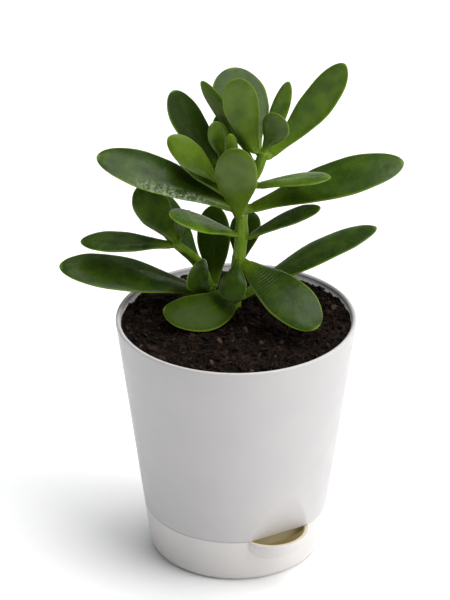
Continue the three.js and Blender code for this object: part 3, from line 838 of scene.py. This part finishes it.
def leaf_colour(n, base, stem):
    """The colour of a leaf without its water."""
    along, tone, upper = n.fact("along"), n.fact("tone"), n.fact("upper")
    off_middle = n.maths("ABSOLUTE", n.fact("across"))
    mottle = n.ramp(n.noise(9 * MM, 4.0), 0.3, 0.7)
    colour = n.mix(mottle, scaled(base, 0.62, 0.68, 0.6), scaled(base, 1.45, 1.32, 1.3))
    # painted shade darkens low and shaded leaves; young growth makes the upper ones lighter
    colour = n.mix(n.ramp(tone, -1.0, -0.2, 0.8, 0.0), colour, scaled(base, 0.45, 0.42, 0.4))
    colour = n.mix(n.ramp(tone, -0.2, 1.0, 0.0, 0.2), colour, scaled(base, 1.6, 1.35, 0.9))
    # the underside is paler and yellower
    colour = n.mix(n.ramp(upper, 0.35, 0.65, 0.3, 0.0), colour, scaled(base, 2.1, 1.6, 1.5))
    # tiny pale dots on the upper face
    dots = n.maths("MULTIPLY", n.ramp(n.cells(1.5 * MM), 0.08, 0.17, 1.0, 0.0), upper)
    colour = n.mix(n.maths("MULTIPLY", dots, 0.12), colour, DOT_COLOUR)
    # the midrib and the neck are stem-coloured
    rib = n.maths("MULTIPLY", n.ramp(off_middle, 0.0, 0.10, 1.0, 0.0),
                  n.ramp(along, 0.1, 0.8, 0.14, 0.0))
    colour = n.mix(rib, colour, stem)
    colour = n.mix(n.ramp(along, 0.06, 0.34, 0.85, 0.0), colour, scaled(stem, 0.95))
    # pale rim round the blade
    sides = n.ramp(off_middle, 0.90, 0.98, 0.0, 0.6)
    end = n.ramp(along, 0.972, 0.996, 0.0, 0.55)
    return n.mix(n.maths("MAXIMUM", sides, end), colour, scaled(stem, 1.3, 1.2, 2.2))


def leaf_bumps(n):
    normal = n.bump(n.noise(3.2 * MM), 0.35 * MM, 0.4)
    normal = n.bump(n.noise(0.5 * MM, 2.0), 0.05 * MM, 0.3, normal)
    # cross creases, which bend towards the tip at the sides
    bend = n.maths("ADD", n.maths("MULTIPLY", n.fact("along"), 220),
                   n.maths("MULTIPLY", n.maths("ABSOLUTE", n.fact("across")), 2.5))
    ripple = n.maths("MULTIPLY", n.maths("SINE", bend), n.fact("crease"))
    return n.bump(ripple, 0.11 * MM, 1.0, normal)


@cache
def leaf_material(slot, shaded):
    n = Nodes(slot + "_old" if shaded else slot)
    base = scaled(BASE_COLOUR[slot], YOUNG_SHADE if slot == "leaf_young" else 1.0)
    colour = leaf_colour(n, base, BASE_COLOUR["stem_green"])
    # wet patches where the leaf was misted, and the film of water
    patches = n.maths("MULTIPLY", n.ramp(n.noise(2.4 * MM, 4.0, 0.65), 0.56, 0.62),
                      n.ramp(n.noise(13 * MM, 2.0), 0.52, 0.62))
    film_and_highlight = n.maths("MULTIPLY", n.ramp(n.noise(1.6 * MM, 4.0, 0.7), 0.47, 0.56), n.fact("wet"))
    # painted highlight: the film lightens the colour towards a pale grey-green
    colour = n.mix(n.maths("MULTIPLY", film_and_highlight, 0.45), colour, WATER_HIGHLIGHT)
    wet = n.maths("MAXIMUM", patches, film_and_highlight)
    rough = n.maths("MULTIPLY", n.ramp(n.noise(6 * MM), 0.25, 0.75, 0.24, 0.36),
                    n.ramp(wet, 0.0, 1.0, 1.0, 0.35))
    return n.finish(colour, rough, leaf_bumps(n), Subsurface_Weight=0.1,
                    Subsurface_Radius=(0.6, 1.0, 0.2), Subsurface_Scale=1.4 * MM,
                    IOR=1.42, Specular_IOR_Level=SHADED_SHINE if shaded else LEAF_SHINE)


def stem_material():
    n = Nodes("stem_green")
    base = BASE_COLOUR["stem_green"]
    streaks = n.ramp(n.noise(1.4 * MM, stretch=(1, 1, 0.12)), 0.3, 0.7)
    colour = n.mix(streaks, scaled(base, 0.9, 1.0, 0.8), scaled(base, 1.45, 1.4, 1.1))
    blotches = n.ramp(n.noise(5 * MM), 0.5, 0.75, 0.0, 0.4)
    colour = n.mix(blotches, colour, scaled(base, 0.6, 0.68, 0.5))
    joints = n.ramp(n.fact("swell"), 0.10, 0.22, 0.0, 0.35)
    colour = n.mix(joints, colour, scaled(base, 0.8, 0.72, 0.6))
    foot = n.ramp(n.fact("along"), 0.10, 0.22, 0.55, 0.0)
    colour = n.mix(foot, colour, STEM_FOOT_COLOUR)
    rough = n.ramp(n.noise(2.5 * MM), 0.3, 0.7, 0.34, 0.5)
    normal = n.bump(n.noise(1.0 * MM, stretch=(1, 1, 0.25)), 0.2 * MM, 0.35)
    return n.finish(colour, rough, normal, Subsurface_Weight=0.14,
                    Subsurface_Radius=(0.6, 1.0, 0.25), Subsurface_Scale=1.2 * MM,
                    IOR=1.45, Specular_IOR_Level=0.3)


# painted light and shade: the pot's inner faces lighter than its outside, the tray's darker and
# yellower
POT_INNER_LIGHT, TRAY_INNER_SHADE = (0.82, 0.80, 0.78), (0.62, 0.52, 0.30)
UNDER_FLOOR_SHADE = (0.31, 0.27, 0.18)    # painted shade: the skirt and the foot in the reservoir
STAIN = (0.05, 0.03, 0.02)
# painted glow: emission on the inner faces, in the reservoir and on the pot's wall above the soil
GLOW_TOP, GLOW_FADE = 2 * MM, 9 * MM    # the reservoir's glow fades out between, above the seam
RIM_GLOW = 0.22


def painted_glow(n, colour, strength):
    """Painted glow on the faces inside: coloured in the reservoir, white above the soil."""
    height = n.height()
    low = n.ramp(height, SEAM + GLOW_TOP, SEAM + GLOW_FADE, strength, 0.0)
    high = n.ramp(height, SOIL_LEVEL - 1 * MM, SOIL_LEVEL + 1 * MM, 0.0, RIM_GLOW)
    glow = n.maths("ADD", low, high)
    n.link(n.maths("MULTIPLY", glow, n.fact("inside")), n.shader, "Emission Strength")
    white = n.ramp(height, SEAM + GLOW_FADE, SOIL_LEVEL - 1 * MM)
    n.link(n.mix(white, colour, (1.0, 0.98, 0.96)), n.shader, "Emission Color")


def plastic_material(slot, brightness, inner, rough_low, rough_high):
    """The nodes of a faintly uneven plastic, with its colour, roughness and normal."""
    n = Nodes(slot)
    base = scaled(BASE_COLOUR[slot], brightness)
    cloud = n.ramp(n.noise(28 * MM), 0.35, 0.65)
    colour = n.mix(cloud, scaled(base, 0.975, 0.975, 0.985), scaled(base, 1.01))
    # the inner faces take a painted colour: lighter in the pot, darker in the tray
    colour = n.mix(n.fact("inside"), colour, inner)
    rough = n.ramp(n.noise(11 * MM, 4.0), 0.3, 0.7, rough_low, rough_high)
    normal = n.bump(n.noise(7 * MM, 2.0), 0.12 * MM, 0.12)
    normal = n.bump(n.noise(0.35 * MM, 2.0), 0.02 * MM, 0.25, normal)
    return n, colour, rough, normal


def pot_material():
    n, colour, rough, normal = plastic_material("pot_white", 0.63, POT_INNER_LIGHT, 0.34, 0.46)
    height, inside = n.height(), n.fact("inside")
    # painted shade on the inner faces below the seam
    under = n.ramp(height, SEAM - 1 * MM, SEAM + 1 * MM, 1.0, 0.0)
    colour = n.mix(n.maths("MULTIPLY", under, inside), colour, UNDER_FLOOR_SHADE)
    # a little mix clings to the wall above the soil
    above = n.ramp(height, SOIL_LEVEL + 0.6 * MM, SOIL_LEVEL + 3.2 * MM, 1.0, 0.0)
    below = n.ramp(height, SOIL_LEVEL - 9 * MM, SOIL_LEVEL - 6 * MM)
    specks = n.ramp(n.noise(1.6 * MM, 4.0, 0.7), 0.44, 0.54, 0.0, 0.9)
    stain = n.maths("MULTIPLY", n.maths("MULTIPLY", above, below), specks)
    colour = n.mix(n.maths("MULTIPLY", stain, inside), colour, STAIN)
    painted_glow(n, (0.36, 0.29, 0.15), 0.05)
    return n.finish(colour, rough, normal, Subsurface_Weight=0.06,
                    Subsurface_Radius=(1.0, 0.9, 0.8), Subsurface_Scale=1.5 * MM, IOR=1.47)


def tray_material():
    n, colour, rough, normal = plastic_material("tray_cream", 0.80, TRAY_INNER_SHADE, 0.36, 0.48)
    painted_glow(n, (0.38, 0.32, 0.17), 0.30)
    return n.finish(colour, rough, normal, Subsurface_Weight=0.06,
                    Subsurface_Radius=(1.0, 0.85, 0.7), Subsurface_Scale=1.5 * MM, IOR=1.47)


def soil_material(name, dark, light, size):
    """A rough crumbly material between two colours, with a grain of that size."""
    n = Nodes(name)
    tone = n.fact("tone")
    grain = n.noise(size, 6.0, 0.7)
    patch = n.noise(9 * MM, 3.0)
    share = n.maths("MULTIPLY", n.ramp(grain, 0.42, 0.72), n.ramp(patch, 0.35, 0.7, 0.25, 1.0))
    colour = n.mix(share, dark, light)
    colour = n.mix(n.ramp(tone, 0.1, 1.0, 0.0, 0.5), colour, light)
    rough = n.ramp(n.noise(1.2 * MM, 4.0), 0.3, 0.7, 0.6, 0.95)
    normal = n.bump(n.noise(0.6 * MM, 6.0, 0.7), 0.5 * MM, 0.8)
    return n.finish(colour, rough, normal, IOR=1.4, Specular_IOR_Level=0.2)


def floor_material():
    n = Nodes("pale_floor")
    cloud = n.ramp(n.noise(0.4, 2.0), 0.3, 0.7)
    colour = n.mix(cloud, (0.965, 0.965, 0.965), (0.98, 0.98, 0.98))
    return n.finish(colour, n.ramp(n.noise(0.05, 2.0), 0.3, 0.7, 0.8, 0.9))


# ---- floor, light and sky ----------------------------------------------------------------------
LIGHT_AIM = 0.14                    # height of the point that the softboxes face


def add_floor(material):
    reach = 12.0
    corners = [(-reach, -reach, 0), (reach, -reach, 0), (reach, reach, 0), (-reach, reach, 0)]
    obj = add_object("floor", corners, [(0, 1, 2, 3)], smooth=False)
    obj.location.z = -0.05 * MM         # clear of the tray's underside
    obj.data.materials.append(material)


def add_light(name, spot, size, power, colour=(1, 1, 1)):
    """A softbox at a spot given as right, away and up from the camera, aimed at the plant."""
    data = bpy.data.lights.new(name, "AREA")
    data.shape = "RECTANGLE"
    data.size, data.size_y = size
    data.energy = power
    data.color = colour
    light = bpy.data.objects.new(name, data)
    light.location = facing_camera(*spot)
    aim = Vector((0, 0, LIGHT_AIM)) - light.location
    light.rotation_euler = aim.to_track_quat("-Z", "Y").to_euler()
    bpy.context.scene.collection.objects.link(light)


def add_sun(name, towards, spread, strength, colour=(1, 1, 1)):
    """A soft light from far away. `towards` is the direction from the pot to the light. It
    isn't seen in reflections: the shapes that the leaves mirror are the area lights'."""
    data = bpy.data.lights.new(name, "SUN")
    data.angle = math.radians(spread)
    data.energy = strength
    data.color = colour
    light = bpy.data.objects.new(name, data)
    light.visible_glossy = False
    light.rotation_euler = (-facing_camera(*towards)).to_track_quat("-Z", "Y").to_euler()
    bpy.context.scene.collection.objects.link(light)


def add_lighting():
    add_sun("key", (0.9, -0.42, 0.62), 50, 2.2, (1.0, 0.99, 0.975))
    add_sun("top", (0.1, 0.3, 1.0), 50, 1.6)
    add_light("softbox", (0.85, 0.1, 2.05), (1.9, 1.9), 29)
    add_light("backdrop", (0.35, 2.3, 0.75), (2.8, 0.7), 4)
    add_light("fill", (-1.6, -0.35, 1.5), (1.4, 1.4), 4, (0.84, 0.92, 1.0))
    world = bpy.data.worlds.new("studio")
    world.use_nodes = True
    sky = world.node_tree.nodes["Background"]
    sky.inputs["Color"].default_value = (1, 1, 1, 1)
    sky.inputs["Strength"].default_value = 0.13
    bpy.context.scene.world = world
    bpy.context.scene.view_settings.view_transform = "Standard"


# ---- the scene ---------------------------------------------------------------------------------
def build_mix():
    """The frame's mix keeps its mesh, with a crumbled surface and loose pieces laid on it."""
    dark, light = (0.0036, 0.0023, 0.0016), (0.031, 0.017, 0.012)
    mix = soil_material("potting_mix", dark, light, 2.2 * MM)
    clod = soil_material("clod", dark, (0.042, 0.025, 0.018), 1.2 * MM)
    bark = soil_material("bark", (0.015, 0.009, 0.006), (0.10, 0.058, 0.04), 1.0 * MM)
    coir = soil_material("coir", (0.02, 0.012, 0.007), (0.10, 0.058, 0.034), 1.0 * MM)
    NODES["soil"].data.materials.clear()
    NODES["soil"].data.materials.append(mix)
    build_soil_surface(mix)
    build_crumbs("soil_crumbs", mix, 1700, (0.35, 1.3), (0.5, 1.1), seed=11, level=2)
    build_crumbs("soil_grains", mix, 1900, (0.25, 0.9), (0.5, 1.1), seed=15, level=2)
    build_crumbs("soil_clods", clod, 120, (1.1, 2.6), (0.4, 0.8), seed=12, level=3)
    build_crumbs("bark_chips", bark, 170, (0.9, 2.4), (0.12, 0.3), seed=13, level=2)
    build_fibres(coir, 330, seed=14)


def main():
    add_camera()
    add_lighting()
    add_floor(floor_material())
    build_tray(tray_material())
    build_pot(pot_material())
    build_mix()
    green = stem_material()
    for name in STEM_NODES:
        build_stem(name, green)
    for seed, name in enumerate(LEAF_NODES, start=1):
        build_leaf(name, leaf_material(SLOT_OF[name], name in SHADED_LEAVES), seed)


main()
